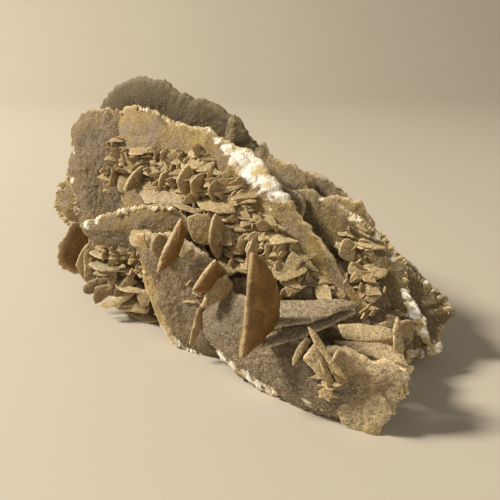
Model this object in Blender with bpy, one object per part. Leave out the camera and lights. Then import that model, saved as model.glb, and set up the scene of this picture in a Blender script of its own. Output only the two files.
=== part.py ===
# Gypsum sand rose: lens-shaped gypsum plates with smaller blades and leaf crystals, grown together
# in one stone. Blender 4.5. The model is in metres, +Z up, and stands on z = 0 with its origin under
# the middle of its bounding box. The tables are drawn on a grid whose step is set by the stone's length.
# A crystal's aim is (heading, pitch, spin) in degrees: heading 0 faces -Y and turns towards +X,
# pitch 0 stands upright and 90 faces straight up, and spin turns the crystal in its own plane.
import math
import random

import bmesh
import bpy
from mathutils import Matrix, Vector

stoneLength = 0.212          # the stone's real length along X, in metres
drawnLength = 252.0          # the same length in steps of the drawing grid
step = stoneLength / drawnLength
boxMiddle = (-24.5, -3.3)    # middle of the footprint, from the point that the tables measure from
floorCut = 0.8               # height at which the feet are worn flat
plateCorners = 20            # corners round a main plate
leafCorners = 6              # corners round a small leaf crystal
ragged = 0.9                 # how far a plate's broken rim wanders in and out
seed = 11

# name: (place, (heading, pitch), thickness, rim width, bow, outline in the plate's own plane)
plates = {
    "rearTall": ((-76, 12, 66), (6, 4), 10, 7, 2,
                 [(-60, -36), (-72, -8), (-72, 24), (-63, 44), (-51, 53), (-44, 56), (-31, 60), (-8, 57),
                  (-1, 52), (24, 48), (43, 38), (54, 25), (59, 4), (48, -30), (8, -50), (-40, -50)]),
    "leftLeaf": ((-94, -21, 64), (14, 10), 9, 6, 1,
                 [(-22, -26), (-31, -10), (-37, 4), (-38, 12), (-34, 19), (-35, 27), (-32, 37), (-20, 44),
                  (0, 47), (12, 40), (26, 20), (34, -20), (20, -42), (-6, -38)]),
    "crest": ((-10, -16, 60), (10, 22), 11, 9, 2,
              [(-80, 24), (-85, 40), (-88, 48), (-79, 56), (-68, 54), (-56, 50), (-28, 47), (-7, 38),
               (17, 21), (46, 0), (59, -14), (79, -29), (70, -44), (30, -46), (-20, -44), (-62, -22)]),
    "shelf": ((-66, -50, 50), (12, -6), 9, 6, 1,
              [(-22, 0), (-10, 7), (3, 13), (12, 13), (24, 20), (44, 20), (56, 8), (46, -12), (20, -18),
               (-4, -14), (-17, -8)]),
    "leftFoot": ((-26, -52, 30), (12, 5), 11, 8, 1,
                 [(-17, 25), (-13, 16), (-7, 6), (-6, -8), (-2, -16), (8, -27), (20, -33), (34, -32),
                  (44, -20), (40, 6), (26, 22), (4, 30)]),
    "frontFoot": ((40, -53, 22), (0, 10), 9, 6, 1,
                  [(-39, 8), (-39, -3), (-36, -8), (-24, -14), (-12, -19), (0, -21), (14, -21), (34, -19),
                   (46, -6), (42, 3), (24, 6), (8, 11), (-1, 20), (-20, 19)]),
    "fanFoot": ((85, -48, 20), (20, 8), 8, 6, 1,
                [(-16, -8), (-10, -18), (0, -22), (9, -17), (11, -12), (15, -3), (17, 6), (17, 12),
                 (4, 15), (-14, 14), (-22, 2)]),
    "rightWing": ((45, 5, 38), (10, 15), 10, 8, 1,
                  [(-27, 40), (-14, 36), (4, 28), (16, 21), (28, 11), (31, 0), (37, -8), (44, -18), (47, -25),
                   (38, -38), (10, -40), (-20, -30), (-40, -4), (-42, 26)]),
    "midBack": ((-5, 14, 70), (6, 8), 8, 5, 1,
                [(-13, 22), (-8, 25), (-3, 19), (7, 16), (17, 12), (21, 4), (20, -10), (8, -30), (-20, -34),
                 (-40, -20), (-36, 8)]),
    "midFront": ((10, 0, 70), (6, 14), 7, 5, 1,
                 [(-30, 22), (-16, 19), (0, 9), (9, 6), (14, -2), (13, -12), (2, -28), (-24, -30), (-42, -8)]),
    "darkKnoll": ((20, 28, 62), (8, 8), 8, 5, 1,
                  [(-22, 8), (-12, 10), (4, 11), (7, 2), (6, -12), (-6, -30), (-26, -28), (-34, -8)]),
    "backWing": ((42, 22, 55), (10, 10), 8, 5, 1,
                 [(-22, 14), (-1, 15), (7, 8), (9, 0), (6, -20), (-10, -34), (-34, -28), (-40, -4)]),
    "rightEnd": ((82, 16, 25), (15, 8), 9, 6, 1,
                 [(-14, 19), (-2, 15), (11, 8), (11, 4), (16, 1), (13, -4), (11, -15), (9, -22), (-8, -26),
                  (-30, -20), (-36, 4), (-28, 18)]),
    "farLeft": ((-124, -26, 50), (20, 4), 5, 4, 0,
                [(-5, 18), (-13, 9), (-18, -1), (-18, -7), (-10, -14), (8, -20), (24, -10), (22, 14)]),
    "brownLeaf": ((-121, -46, 24), (60, 0), 5, 4, 0,
                  [(14, 19), (5, 14), (0, 6), (-3, -4), (-2, -10), (5, -15), (16, -16), (26, -6), (24, 12)]),
    "leftPost": ((-84, -46, 25), (20, 0), 6, 4, 0,
                 [(-4, 18), (-8, 6), (-10, -6), (-8, -16), (2, -20), (20, -14), (24, 4), (14, 20)]),
    "backTall": ((-62, 36, 58), (184, 12), 9, 7, 1,
                 [(-58, -30), (-56, -4), (-46, 22), (-22, 40), (4, 44), (34, 34), (56, 8), (54, -24), (26, -46),
                  (-30, -50)]),
    "backCrest": ((6, 40, 44), (170, 18), 9, 7, 1,
                  [(-50, -20), (-48, 8), (-26, 32), (2, 38), (30, 24), (48, 4), (50, -22), (24, -40),
                   (-20, -42)]),
    "backEnd": ((58, 34, 30), (158, 12), 8, 6, 1,
                [(-36, -16), (-32, 4), (-10, 15), (14, 18), (32, 6), (34, -16), (12, -30), (-18, -32)]),
    "backLeft": ((-112, 12, 44), (228, 8), 8, 6, 1,
                 [(-34, -24), (-36, 4), (-22, 28), (2, 36), (24, 24), (34, 0), (28, -30), (0, -44)]),
    "backFoot": ((-34, 50, 24), (182, 24), 9, 6, 1,
                 [(-52, -14), (-44, 6), (-20, 18), (10, 20), (38, 12), (52, -8), (40, -26), (0, -30),
                  (-36, -28)]),
}

# name: (place, (heading, pitch), thickness, rim width, corners in the blade's own plane)
blades = {
    "spear": ((46, -54, 40), (80, -4), 8, 5,
              [(-13, 32), (-15, 21), (-16, 3), (-18, -16), (-7, -13), (1, -4), (0, 7), (-7, 22)]),
    "goldenTriangle": ((-9, -52, 53), (76, 0), 5, 2.5,
              [(0, 16), (-6, 6), (-13, -6), (-7, -7), (5, -6), (6, 7)]),
    "obliqueThin": ((-28, -38, 58), (60, 0), 5, 2, [(4, 9), (0, 5), (-7, -7), (-6, -10), (2, -7), (8, 4)]),
    "broadPale": ((-50, -28, 72), (0, 62), 5, 2,
              [(-16, -4), (-17, 2), (-18, 13), (-2, 10), (22, -3), (24, -7), (9, -10), (-1, -11)]),
    "slabTop": ((56, -36, 39), (0, 80), 4, 1.5,
              [(-11, -23), (-6, -16), (-1, -14), (4, -7), (12, 12), (7, 14), (-11, 5), (-22, -6)]),
    "slabLow": ((57, -37, 33), (0, 80), 4, 1.5,
              [(-12, -29), (-4, -16), (0, -8), (6, 4), (10, 18), (5, 21), (-15, 8), (-21, -13)]),
    "wedgeTop": ((79, -37, 36), (5, 48), 7, 3,
              [(-14, -2), (-9, 2), (1, 5), (10, 8), (14, 2), (6, -2), (-5, -4)]),
    "wedgeLow": ((84, -42, 30), (5, 42), 8, 3,
              [(-18, -2), (-13, 2), (-2, 5), (8, 7), (16, -1), (5, -3), (-8, -3)]),
    "wedgeUpright": ((94, -39, 39), (55, 5), 4, 1.5,
              [(-1, 10), (1, 5), (3, -7), (2, -10), (-1, -6), (-3, 4)]),
    "diagonalBlade": ((75, -59, 35), (40, 30), 4, 1.5,
              [(-6, 10), (-2, 7), (3, 0), (6, -9), (1, -6), (-6, 2)]),
    "underLeafA": ((72, -58, 30), (45, 35), 4, 2, [(-7, 1), (-4, 7), (3, 7), (7, -1), (4, -8), (-2, -5)]),
    "underLeafB": ((75, -60, 21), (50, 10), 5, 2, [(-4, 7), (-1, 10), (3, 1), (3, -9), (-1, -6)]),
    "underLeafC": ((80, -55, 29), (60, 5), 4, 1.5, [(-4, 7), (-1, 8), (3, 2), (4, -7), (-2, -6)]),
    "curvedBlade": ((13, -56, 41), (55, 0), 5, 2,
              [(-7, -7), (-4, -1), (1, 5), (6, 8), (9, 3), (6, -4), (-1, -6)]),
    "goldenBlade": ((11, -55, 46), (75, 0), 5, 2, [(2, 10), (-5, 4), (-11, -2), (-8, -4), (1, -5), (8, 2)]),
    "trapezoid": ((-14, -35, 58), (25, -5), 5, 2, [(-8, 9), (2, 6), (8, -4), (7, -7), (-4, -7), (-7, -1)]),
    "rimFlake": ((-25, -33, 69), (10, 68), 3, 1, [(-19, 6), (-8, 2), (8, -2), (8, -5), (-3, -3), (-12, 0)]),
    "pointedLeaf": ((-11, -28, 70), (0, 65), 4, 1.5,
              [(-14, 1), (-2, 5), (10, 4), (15, 0), (6, -4), (-5, -4)]),
    "bigShelf": ((35, -24, 38), (0, 58), 5, 2, [(-10, 1), (-3, 5), (6, 6), (5, 0), (-4, -6)]),
    "ledgeA": ((-67, -56, 38), (8, 70), 3, 1.5, [(-7, -2), (-6, 1), (0, 4), (6, 5), (8, 2), (1, -3)]),
    "ledgeB": ((-72, -55, 32), (5, 60), 3, 1.5, [(-10, -1), (-5, 2), (2, 3), (4, 0), (-3, -4)]),
    "underSmall": ((62, -60, 32), (50, 10), 4, 1.5, [(0, 5), (3, 2), (1, -1), (-2, -5), (-4, -2), (-2, 3)]),
    "cupOuter": ((-68, -57, 13), (15, 35), 3, 1.5,
              [(-17, 4), (-15, 0), (-7, -4), (1, -4), (10, 0), (17, 6), (11, 7), (-1, 1), (-10, 3)]),
    "cupRim": ((-74, -57, 20), (10, 35), 3, 1.5,
              [(-10, -3), (-8, 1), (-1, 3), (7, 6), (10, 3), (2, 0), (-3, -5)]),
    "cupInner": ((-67, -58, 19), (15, 25), 3, 1.5, [(-6, -2), (-4, 2), (2, 4), (7, 3), (5, 0), (-2, -4)]),
    "cupWall": ((-62, -55, 28), (0, 5), 3, 1.5, [(-3, 3), (2, 5), (4, 0), (1, -6), (-3, -6)]),
    "cupBlade": ((-50, -55, 24), (12, 62), 3, 1.5, [(-12, 2), (-3, 2), (8, 2), (11, 0), (1, -2), (-8, -2)]),
    "cupShelf": ((-58, -55, 34), (10, 70), 3, 1.5, [(-9, -4), (-7, 0), (1, 3), (9, 4), (10, 0), (0, -3)]),
    "cupDiagonal": ((-51, -54, 30), (60, 10), 3, 1.5,
              [(2, 4), (4, 2), (1, -3), (-3, -7), (-4, -5), (-1, 0)]),
    "paleSliver": ((-68, -57, 28), (30, 40), 3, 1.5, [(-4, -2), (-1, 1), (3, 2), (3, 0), (-1, -3)]),
    "underPetalA": ((-56, -51, 10), (10, 40), 3, 1.5,
              [(-11, -2), (-5, 1), (4, 4), (14, 2), (13, -2), (4, -3), (-5, -4)]),
    "underPetalB": ((-51, -47, 3), (15, 50), 3, 1.5,
              [(-13, 0), (-5, 2), (5, 3), (14, 0), (7, -3), (-3, -2)]),
    "sideCup": ((-41, -52, 20), (10, 10), 3, 1.5, [(-4, 3), (1, 5), (4, 2), (4, -4), (-1, -6), (-4, -2)]),
}

# name: (place, (heading, pitch, spin), (half length, half width, thickness))
leaves = {
    "hexLow": ((-86, -28, 73), (100, 0, 32), (8, 5, 2.5)),
    "hexTop": ((-79, -28, 78), (20, -60, 5), (6, 5, 2.5)),
    "hexPale": ((-78, -28, 70), (30, 30, -49), (7, 5, 2.5)),
    "goldenRod": ((-65, -29, 77), (95, -10, 29), (12, 5, 5)),
    "brownFace": ((-78, -20, 81), (20, -10, 36), (11, 9, 4)),
    "tallA": ((-31, -26, 79), (70, 5, 81), (9, 6, 3.5)),
    "tallB": ((-23, -26, 78), (90, 5, 61), (7, 6, 3.5)),
    "tallC": ((-13, -25, 77), (90, 5, 71), (6, 5, 3)),
    "smallFlatA": ((-34, -15, 92), (0, 60, 16), (5, 5, 3)),
    "flatB": ((-15, -18, 78), (0, 62, 16), (12, 7, 3)),
    "flatC": ((-7, -20, 74), (0, 60, 1), (8, 7, 3)),
    "flatD": ((-1, -22, 69), (5, 60, -9), (7, 7, 3)),
    "flatE": ((-26, -17, 87), (0, 60, -21), (6, 6, 3)),
    "flatF": ((-34, -19, 87), (0, 50, 0), (8, 6, 3)),
    "flatG": ((-48, -20, 88), (20, 45, -10), (6, 6, 3)),
    "flatH": ((-57, -21, 84), (-10, 55, -12), (12, 7, 3)),
    "notchA": ((-46, -25, 77), (85, 0, 37), (7, 6, 3)),
    "uprightThin": ((-3, -35, 58), (90, 0, -87), (12, 6, 3)),
    "slantRib": ((-7, -31, 59), (0, 50, -22), (14, 6, 2.5)),
    "pairA": ((-14, -39, 47), (20, 20, -32), (7, 6, 3)),
    "lipLeaf": ((3, -34, 44), (0, 60, 14), (8, 8, 3)),
    "needle": ((2, -50, 36), (20, 10, -48), (8, 3, 3)),
    "nestA": ((5, -30, 55), (0, 45, 18), (5, 6, 3)),
    "nestB": ((8, -24, 60), (0, 60, 4), (6, 6, 3)),
    "nestD": ((14, -29, 54), (85, 10, -90), (5, 5, 3)),
    "nestE": ((19, -24, 58), (0, 60, 7), (4, 6, 3)),
    "nestF": ((23, -25, 55), (80, 10, 53), (7, 5, 3)),
    "nestG": ((28, -24, 54), (85, 5, 86), (5, 5, 3)),
    "shelfA": ((27, -29, 48), (5, 62, 7), (8, 8, 3)),
    "shelfB": ((33, -27, 48), (0, 66, 13), (10, 8, 2.5)),
    "shelfC": ((34, -25, 44), (0, 66, 23), (7, 8, 2.5)),
    "squareTip": ((36, -26, 52), (30, 30, 14), (4, 5, 3)),
    "obliqueLeaf": ((51, -24, 40), (-10, 40, -17), (7, 4, 2.5)),
    "endLeafA": ((84, -8, 22), (70, 20, 30), (9, 7, 4)),
    "endLeafB": ((88, -20, 16), (110, 10, -20), (15, 12, 5)),
    "endLeafC": ((80, -26, 24), (60, 30, 50), (12, 10, 4)),
    "endLeafD": ((82, 2, 12), (120, 0, 10), (13, 11, 5)),
    "fanRibA": ((94, -50, 15), (40, 5, -64), (7, 5, 3)),
    "fanCrystal": ((91, -51, 2), (10, 10, 20), (5, 6, 6)),
    "wingLeaf": ((64, 4, 44), (0, 65, -2), (5, 6, 3)),
    "wingLeafB": ((56, -1, 41), (60, 10, -71), (8, 6, 3)),
    "wingLeafC": ((49, 2, 52), (60, 20, -78), (6, 6, 3)),
    "towerLeaf": ((-33, 11, 101), (-50, 5, 70), (12, 7, 3)),
    "towerChip": ((-70, 16, 110), (85, 5, 28), (6, 4, 3)),
    "petalI": ((-58, -45, 12), (0, 75, 8), (11, 9, 3)),
    "petalK": ((-89, -52, 26), (60, 0, 86), (12, 6, 3)),
    "boneA": ((-55, -50, 46), (30, 20, -20), (4, 6, 4)),
    "boneB": ((-61, -51, 38), (60, 10, -59), (4, 6, 4)),
    "boneD": ((-39, -52, 55), (0, 50, -8), (8, 7, 4)),
    "shelfLip": ((-26, -49, 55), (0, 40, 0), (8, 6, 4)),
    "finPale": ((-20, -57, 55), (70, 0, -84), (7, 5, 2.5)),
}

# where small crystals crowd: (host plate, centre, half sizes, tilt of the patch, how many, half lengths)
crowds = [
    ("crest", (-20, 8), (42, 14), -26, 14, (4, 8)),
    ("crest", (-58, 22), (20, 10), 0, 4, (3, 6)),
    ("rightWing", (12, 4), (16, 16), -30, 6, (4, 7)),
    ("backTall", (4, -6), (40, 24), 0, 9, (7, 13)),
    ("backCrest", (2, -4), (34, 22), 0, 8, (7, 12)),
    ("backEnd", (0, -4), (24, 16), 0, 6, (5, 10)),
    ("backLeft", (-4, -6), (22, 20), 0, 6, (5, 10)),
]
kinds = [(0, 62), (85, 5), (25, 20)]          # lying, standing edge-on, and leaning crystals

# the grown-together middle: (place, aim, half sizes along, up and through)
masses = [
    ((-60, 6, 40), (6, 0, 0), (56, 27, 32)),
    ((15, 6, 28), (-4, 0, 0), (60, 25, 25)),
    ((60, -4, 18), (-12, 0, 0), (30, 15, 16)),
    ((-40, 20, 20), (0, 0, 0), (60, 21, 28)),
    ((-92, -8, 30), (10, 0, 0), (26, 22, 24)),
    ((-18, -24, 56), (8, 22, -24), (50, 20, 9)),
    ((24, -20, 42), (8, 22, -20), (34, 14, 9)),
    ((-58, -40, 36), (12, 0, 0), (28, 12, 16)),
    ((54, -33, 20), (6, 0, 0), (32, 10, 13)),
    ((-70, -46, 22), (12, 0, 0), (20, 13, 10)),
]


def attitude(heading, pitch, spin=0):
    h = math.radians(heading)
    p = math.radians(pitch)
    s = math.radians(spin)
    normal = Vector((math.sin(h) * math.cos(p), -math.cos(h) * math.cos(p), math.sin(p)))
    level = Vector((math.cos(h), math.sin(h), 0.0))
    along = level * math.cos(s) + normal.cross(level) * math.sin(s)
    return Matrix((along, normal.cross(along), normal)).transposed()


def smoothOutline(points, count):
    # a closed Catmull-Rom curve through the outline's points, read at even steps of its length
    steps = 12
    fine = []
    for i in range(len(points)):
        a, b, c, d = (Vector(points[(i + k) % len(points)]) for k in (-1, 0, 1, 2))
        for k in range(steps):
            t = k / steps
            fine.append(0.5 * (2 * b + (c - a) * t + (2 * a - 5 * b + 4 * c - d) * t * t
                               + (3 * b - a - 3 * c + d) * t ** 3))
    lengths = [0.0]
    for i in range(len(fine)):
        lengths.append(lengths[-1] + (fine[(i + 1) % len(fine)] - fine[i]).length)
    result = []
    j = 0
    for i in range(count):
        want = lengths[-1] * i / count
        while lengths[j + 1] < want:
            j += 1
        part = (want - lengths[j]) / (lengths[j + 1] - lengths[j])
        result.append(fine[j].lerp(fine[(j + 1) % len(fine)], part))
    return result


def leftHanded(rim):
    return sum(a.cross(b) for a, b in zip(rim, rim[1:] + rim[:1])) < 0


def addLens(bm, place, aim, thick, rimWidth, bow, rim, wander):
    # a plate with two flat faces that slope to a thin rim; its corners are the points of rim
    if leftHanded(rim):
        rim = rim[::-1]
    count = len(rim)
    middle = sum(rim, Vector((0, 0))) / count
    reach = max((p - middle).length for p in rim)
    turn = attitude(*aim)
    made = bmesh.ops.create_uvsphere(bm, u_segments=count, v_segments=4, radius=1)
    for vert in made["verts"]:
        side = vert.co.z
        i = round(math.atan2(vert.co.y, vert.co.x) / math.tau * count) % count
        out = rim[i] - middle
        if abs(side) > 0.9:
            flat = middle
            height = math.copysign(thick / 2, side)
        elif abs(side) < 0.1:
            flat = middle + out * (1 + wander[i] / out.length)
            height = 0.3 * wander[i]
        else:
            flat = middle + out * max(0.4, 1 - rimWidth / out.length)
            height = math.copysign(0.42 * thick, side)
        height += bow * (1 - 2 * ((flat - middle).length / reach) ** 2)
        vert.co = turn @ Vector((flat.x, flat.y, height)) + Vector(place)


def addPlate(bm, place, aim, thick, rimWidth, bow, outline, rng):
    rim = smoothOutline(outline, plateCorners)
    wander = [ragged * rng.uniform(-1, 1) for _ in rim]
    addLens(bm, place, aim, thick, rimWidth, bow, rim, wander)


def addBlade(bm, place, aim, thick, rimWidth, corners):
    rim = [Vector(corner) for corner in corners]
    addLens(bm, place, aim, thick, rimWidth, 0, rim, [0.0] * len(rim))


def addLeaf(bm, place, aim, sizes):
    # a small lens crystal with pointed ends, like a melon seed
    length, width, thick = sizes
    turn = attitude(*aim)
    made = bmesh.ops.create_uvsphere(bm, u_segments=leafCorners, v_segments=2, radius=1)
    for vert in made["verts"]:
        along, across, over = vert.co
        vert.co = turn @ Vector((along * length, across * width, over * thick / 2)) + Vector(place)


def addCrowd(bm, crowd, rng):
    host, centre, halfSizes, tilt, count, lengths = crowd
    place, (heading, pitch), thick = plates[host][:3]
    turn = attitude(heading, pitch)
    lean = Matrix.Rotation(math.radians(tilt), 2)
    for i in range(count):
        angle = i * 2.4                        # the golden angle spreads the crystals evenly
        far = math.sqrt((i + 0.5) / count)
        spot = lean @ Vector((math.cos(angle) * far * halfSizes[0], math.sin(angle) * far * halfSizes[1]))
        spot += Vector(centre) + Vector((rng.uniform(-2, 2), rng.uniform(-2, 2)))
        length = rng.uniform(*lengths)
        turned, tipped = kinds[rng.choice((0, 0, 1, 2))]
        aim = (heading + turned + rng.uniform(-16, 16), tipped + rng.uniform(-12, 12), rng.uniform(-50, 50))
        at = Vector(place) + turn @ Vector((spot.x, spot.y, thick / 2 + rng.uniform(0, 3)))
        addLeaf(bm, at, aim, (length, length * rng.uniform(0.6, 0.9), rng.uniform(2.2, 3.2)))


def addMass(bm, place, aim, halfSizes):
    turn = attitude(*aim)
    made = bmesh.ops.create_icosphere(bm, subdivisions=2, radius=1)
    for vert in made["verts"]:
        vert.co = turn @ Vector([c * h for c, h in zip(vert.co, halfSizes)]) + Vector(place)


def bodiesOf(bm):
    # the separate closed surfaces of a mesh, each a list of faces
    left = set(bm.faces)
    bodies = []
    while left:
        edge = [left.pop()]
        body = list(edge)
        while edge:
            face = edge.pop()
            for near in {f for e in face.edges for f in e.link_faces if f in left}:
                left.discard(near)
                edge.append(near)
                body.append(near)
        bodies.append(body)
    return bodies


def bodyVolume(body):
    total = 0.0
    for face in body:
        first = face.verts[0].co
        for a, b in zip(face.verts[1:], face.verts[2:]):
            total += first.dot(a.co.cross(b.co)) / 6
    return total


def newCollection(name):
    home = bpy.data.collections.new(name)
    bpy.context.scene.collection.children.link(home)
    return home


def newObject(name, bm, home):
    mesh = bpy.data.meshes.new(name)
    bm.to_mesh(mesh)
    bm.free()
    thing = bpy.data.objects.new(name, mesh)
    home.objects.link(thing)
    return thing


def asGuide(thing):
    thing.hide_render = True
    thing.display_type = "WIRE"


def gypsum():
    material = bpy.data.materials.new("sandy gypsum")
    material.use_nodes = True
    shader = material.node_tree.nodes["Principled BSDF"]
    shader.inputs["Base Color"].default_value = (0.33, 0.24, 0.14, 1)
    shader.inputs["Roughness"].default_value = 0.85
    shader.inputs["Metallic"].default_value = 0.0
    return material


def growCrystals():
    rng = random.Random(seed)
    bm = bmesh.new()
    for plate in plates.values():
        addPlate(bm, *plate, rng)
    for blade in blades.values():
        addBlade(bm, *blade)
    for leaf in leaves.values():
        addLeaf(bm, *leaf)
    for crowd in crowds:
        addCrowd(bm, crowd, rng)
    return bm


def growMiddle():
    bm = bmesh.new()
    for mass in masses:
        addMass(bm, *mass)
    return bm


def joinAll(middle, crystals):
    join = middle.modifiers.new("grown together", "BOOLEAN")
    join.operation = "UNION"
    join.object = crystals
    join.solver = "EXACT"
    join.use_self = True
    depsgraph = bpy.context.evaluated_depsgraph_get()
    return bpy.data.meshes.new_from_object(middle.evaluated_get(depsgraph))


def finish(mesh):
    bm = bmesh.new()
    bm.from_mesh(mesh)
    bodies = sorted(bodiesOf(bm), key=bodyVolume)
    for body in bodies[:-1]:
        bmesh.ops.delete(bm, geom=body, context="FACES")
    cut = bmesh.ops.bisect_plane(bm, geom=bm.verts[:] + bm.edges[:] + bm.faces[:], dist=0.0001,
                                 plane_co=(0, 0, floorCut), plane_no=(0, 0, -1), clear_outer=True)
    rims = [item for item in cut["geom_cut"] if isinstance(item, bmesh.types.BMEdge)]
    bmesh.ops.holes_fill(bm, edges=rims, sides=0)
    bmesh.ops.dissolve_limit(bm, angle_limit=math.radians(6), verts=bm.verts[:], edges=bm.edges[:])
    bmesh.ops.triangulate(bm, faces=bm.faces[:])
    shift = Vector((-boxMiddle[0], -boxMiddle[1], -floorCut))
    for vert in bm.verts:
        vert.co = (vert.co + shift) * step
    return bm


for thing in list(bpy.data.objects):
    bpy.data.objects.remove(thing, do_unlink=True)

roseHome = newCollection("sand_rose")
guideHome = newCollection("growth")
crystals = newObject("crystals", growCrystals(), guideHome)
middle = newObject("middle", growMiddle(), guideHome)
whole = finish(joinAll(middle, crystals))
asGuide(crystals)
asGuide(middle)
rose = newObject("sand_rose", whole, roseHome)
rose.data.materials.append(gypsum())
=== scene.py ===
# Gypsum sand rose: lens-shaped gypsum plates with blades and leaf crystals between them, crusted with
# desert sand. Blender 4.5. Metres, +Z up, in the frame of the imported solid. The tables are drawn on a
# grid whose step is set by the stone's length. A crystal's aim is (heading, pitch, spin) in degrees:
# heading 0 faces -Y and turns towards +X, pitch 0 stands upright and 90 faces straight up.
import math
import random

import bmesh
import bpy
import numpy as np
from mathutils import Matrix, Vector, noise


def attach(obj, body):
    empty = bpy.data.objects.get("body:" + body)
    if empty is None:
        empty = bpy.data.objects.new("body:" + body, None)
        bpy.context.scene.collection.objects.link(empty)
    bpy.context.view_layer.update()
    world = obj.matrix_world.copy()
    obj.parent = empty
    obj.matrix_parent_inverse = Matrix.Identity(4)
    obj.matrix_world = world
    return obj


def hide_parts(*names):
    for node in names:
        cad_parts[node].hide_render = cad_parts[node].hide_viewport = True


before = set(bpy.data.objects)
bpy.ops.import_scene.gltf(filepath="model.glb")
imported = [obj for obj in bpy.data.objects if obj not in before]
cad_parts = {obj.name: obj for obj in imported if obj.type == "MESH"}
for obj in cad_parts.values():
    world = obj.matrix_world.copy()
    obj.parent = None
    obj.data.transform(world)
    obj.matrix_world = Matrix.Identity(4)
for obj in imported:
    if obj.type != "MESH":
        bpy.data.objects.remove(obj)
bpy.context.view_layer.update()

stone = {
    "length": 0.212,             # along X, in metres
    "drawnLength": 252.0,        # the same in steps of the drawing grid
    "boxMiddle": (-24.5, -3.3),  # middle of the footprint on the grid
    "floorCut": 0.8,             # grid height at which the feet are worn flat
}
step = stone["length"] / stone["drawnLength"]
shift = Vector((-stone["boxMiddle"][0], -stone["boxMiddle"][1], -stone["floorCut"]))
# what each point of a crystal carries for the materials: 1 at the rim, brighter or darker (at random,
# and on some named plates and blades painted light and shade), clear and honey-coloured (below 0: ashy),
# worn white
paintLayers = ("rim", "tone", "honey", "bruise")
sharpAngle = 35                  # degrees: edges between faces that meet more steeply stay crisp


def attitude(heading, pitch, spin=0):
    # columns: along the crystal, across it, and out of its face
    h = math.radians(heading)
    p = math.radians(pitch)
    s = math.radians(spin)
    normal = Vector((math.sin(h) * math.cos(p), -math.cos(h) * math.cos(p), math.sin(p)))
    level = Vector((math.cos(h), math.sin(h), 0.0))
    along = level * math.cos(s) + normal.cross(level) * math.sin(s)
    return Matrix((along, normal.cross(along), normal)).transposed()


def evenPoints(fine, density=0, count=0):
    # a closed line of points, read again at even steps of its length: so many to a grid step, or in all
    lengths = [0.0]
    for i in range(len(fine)):
        lengths.append(lengths[-1] + (fine[(i + 1) % len(fine)] - fine[i]).length)
    count = count or max(12, round(lengths[-1] * density))
    result = []
    j = 0
    for i in range(count):
        want = lengths[-1] * i / count
        while lengths[j + 1] < want:
            j += 1
        part = (want - lengths[j]) / (lengths[j + 1] - lengths[j])
        result.append(fine[j].lerp(fine[(j + 1) % len(fine)], part))
    return result


def smoothOutline(points, density):
    # a closed Catmull-Rom curve through the outline's points
    steps = 12
    fine = []
    for i in range(len(points)):
        a, b, c, d = (Vector(points[(i + k) % len(points)]) for k in (-1, 0, 1, 2))
        for k in range(steps):
            t = k / steps
            fine.append(0.5 * (2 * b + (c - a) * t + (2 * a - 5 * b + 4 * c - d) * t * t
                               + (3 * b - a - 3 * c + d) * t ** 3))
    return evenPoints(fine, density)


def straightOutline(points, density):
    # straight edges between the corners, which are rounded off a little
    rim = evenPoints([Vector(point) for point in points], density)
    return [rim[i - 1] * 0.25 + rim[i] * 0.5 + rim[(i + 1) % len(rim)] * 0.25 for i in range(len(rim))]


def leftHanded(rim):
    return sum(a.cross(b) for a, b in zip(rim, rim[1:] + rim[:1])) < 0


def rough(point, size, which=0.0):
    # smooth noise of about -1 to 1 whose bumps are as wide as size, in grid steps; each number in which
    # reads another part of the noise
    return 2 * noise.noise(point / size + Vector((which, 3.1 * which, 7.7)))


def bumpsAt(point, sorts, side=0):
    # several such noises in one: sorts are (width of a bump, height, which noise)
    return sum(high * rough(point, wide, side + which) for wide, high, which in sorts)


def bruiseAt(point, spots):
    # how strongly the worn white spots show at this point, 0 to 1; they fade out at 1.5 radii
    return max([0.0] + [1 - (point - place).length / (radius * 1.5) for place, radius in spots])


def bruisesNear(place, reach):
    spots = [(Vector(spot), radius) for spot, radius in bruises]
    return [(spot, radius) for spot, radius in spots if (spot - place).length < reach + 2 * radius]


def newCrystals():
    bm = bmesh.new()
    for layer in paintLayers:
        bm.verts.layers.float.new(layer)
    return bm


# the bumps of a broken rim, of worn white powder, and how wide those of a face are
rimBumps = ((9, 1, 0), (4, 0.7, 2), (1.9, 0.6, 5))
powder = {"thick": 0.6, "bumps": ((9, 0.9, 9), (3.5, 0.35, 11))}
faceBumpWidths = (13, 4, 1.7)


def addBall(bm, around, rows):
    # Blender numbers this sphere's faces differently from run to run, so they are put in order
    bmesh.ops.create_uvsphere(bm, u_segments=around, v_segments=rows, radius=1)
    bm.verts.index_update()
    bm.faces.sort(key=lambda face: face.verts[0].index * len(bm.verts) + face.verts[2].index)


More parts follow.
